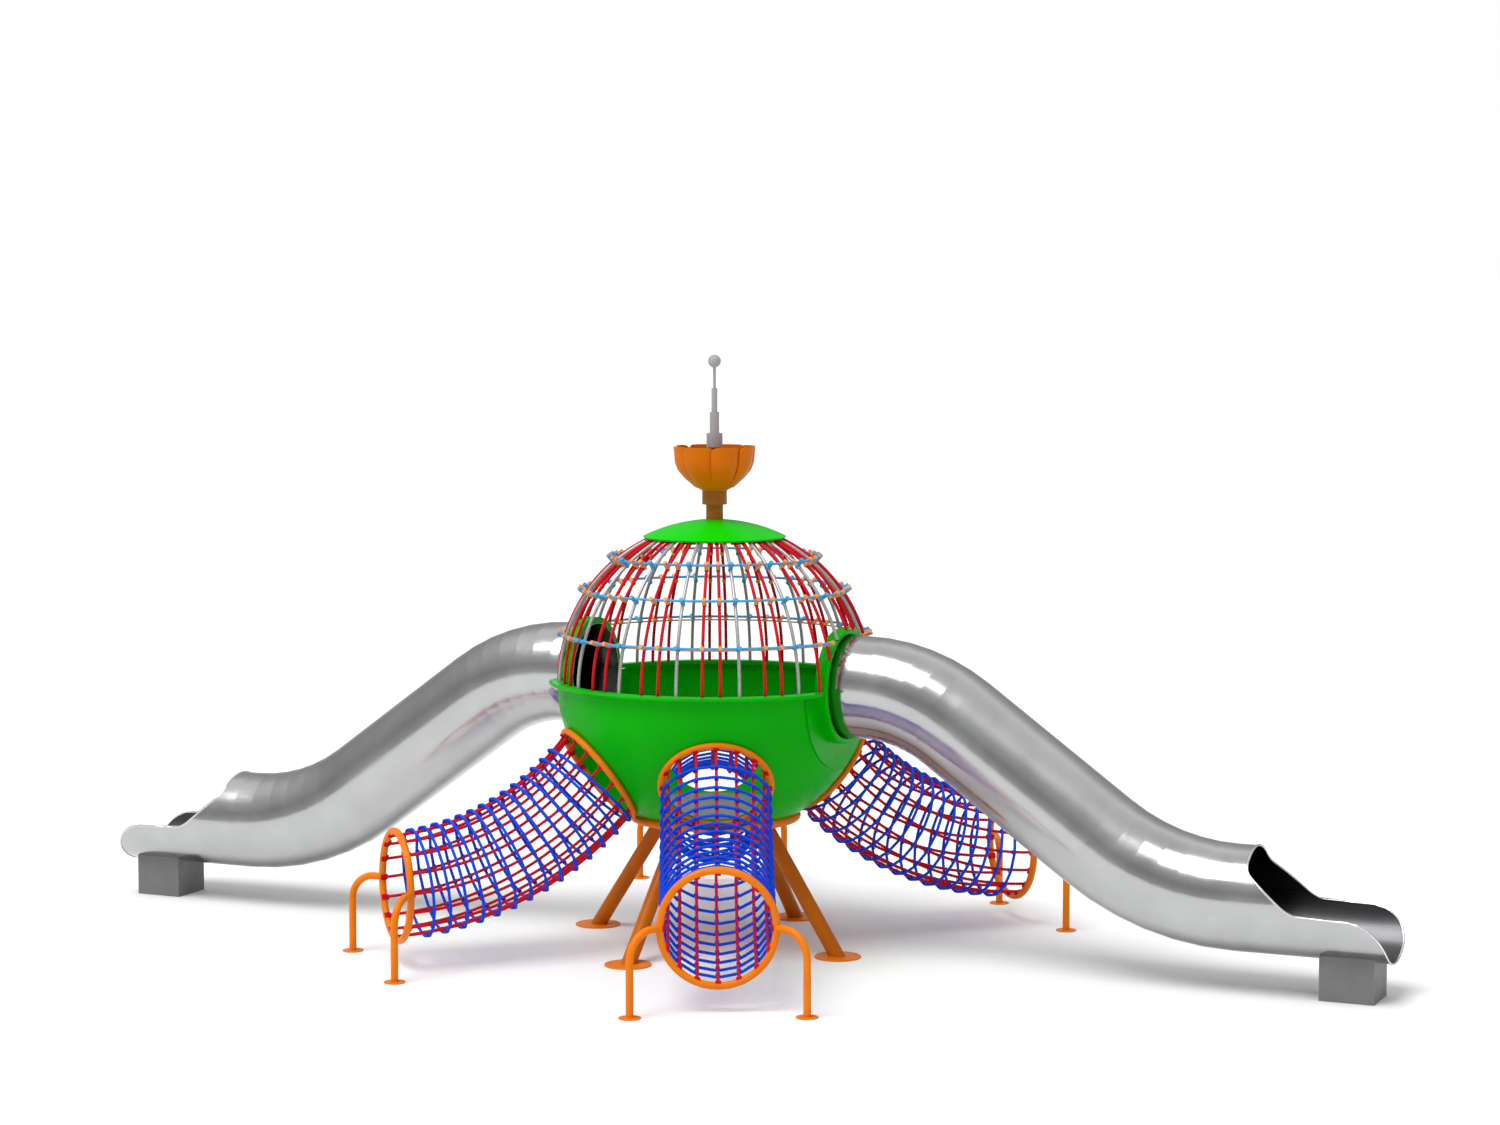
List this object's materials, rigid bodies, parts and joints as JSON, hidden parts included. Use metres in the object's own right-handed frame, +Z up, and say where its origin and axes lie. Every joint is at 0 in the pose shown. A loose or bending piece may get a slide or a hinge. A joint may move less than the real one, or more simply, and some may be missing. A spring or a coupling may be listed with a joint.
{
  "type": "dome climber",
  "caption": "Playground dome climber: a bowl under a rope cage, with tube slides on two sides, net tunnels to crawl up through, and a flower-shaped finial with an antenna.",
  "frame": {"origin": "on the ground under the dome's upright axis", "axes": "+Z up, +X along one of the two opposite slides, +Y to its left"},
  "size_m": [10.72, 5.631, 4.563],
  "materials": {
    "green_plastic": "satin",
    "deck_grey": "matte",
    "orange_paint": "satin",
    "orange_plastic": "satin",
    "grey_paint": "satin",
    "galvanised_steel": "satin",
    "red_rope": "matte",
    "blue_rope": "matte",
    "light_blue_rope": "matte",
    "tie_band_orange": "matte",
    "connector_orange": "matte",
    "clamp_blue": "matte",
    "polished_edge": "polished",
    "stainless_steel": "brushed"
  },
  "bodies": {
    "root": {"antenna_ball": "grey_paint", "antenna_base": "grey_paint", "antenna_lower_tube": "grey_paint", "antenna_rod": "grey_paint", "antenna_upper_tube": "grey_paint", "back_end_ring": "orange_paint", "back_net_hoops": "blue_rope", "back_net_ropes": "red_rope", "bar_clamps": "clamp_blue", "base_plate": "orange_paint", "base_ring": "orange_paint", "bowl": "green_plastic", "box_foot_east": "stainless_steel", "box_foot_west": "stainless_steel", "cage_bars": "galvanised_steel", "cage_ropes": "red_rope", "cap": "green_plastic", "deck": "deck_grey", "finial_collar": "orange_paint", "finial_post": "orange_paint", "front_end_ring": "orange_paint", "front_net_hoops": "blue_rope", "front_net_ropes": "red_rope", "hub_ring": "orange_paint", "left_end_ring": "orange_paint", "left_net_hoops": "blue_rope", "left_net_ropes": "red_rope", "level_rope_lower": "light_blue_rope", "level_rope_middle": "light_blue_rope", "level_rope_upper": "light_blue_rope", "main_foot_plates": "orange_paint", "main_leg_1": "orange_paint", "main_leg_2": "orange_paint", "main_leg_3": "orange_paint", "main_leg_4": "orange_paint", "petal_cup": "orange_plastic", "portal_collar_east": "green_plastic", "portal_collar_west": "green_plastic", "portal_panel_east": "green_plastic", "portal_panel_west": "green_plastic", "right_end_ring": "orange_paint", "right_net_hoops": "blue_rope", "right_net_ropes": "red_rope", "rim_flange": "green_plastic", "rope_connectors_lower": "connector_orange", "rope_connectors_middle": "connector_orange", "rope_connectors_upper": "connector_orange", "slide_exit_east": "stainless_steel", "slide_exit_lip_east": "polished_edge", "slide_exit_lip_west": "polished_edge", "slide_exit_west": "stainless_steel", "slide_slope_east": "stainless_steel", "slide_slope_west": "stainless_steel", "slide_upper_bend_east": "stainless_steel", "slide_upper_bend_west": "stainless_steel", "tie_band": "tie_band_orange", "tunnel_foot_plates": "orange_paint", "tunnel_legs": "orange_paint", "upper_net_rings": "orange_paint"}
  },
  "joints": []
}
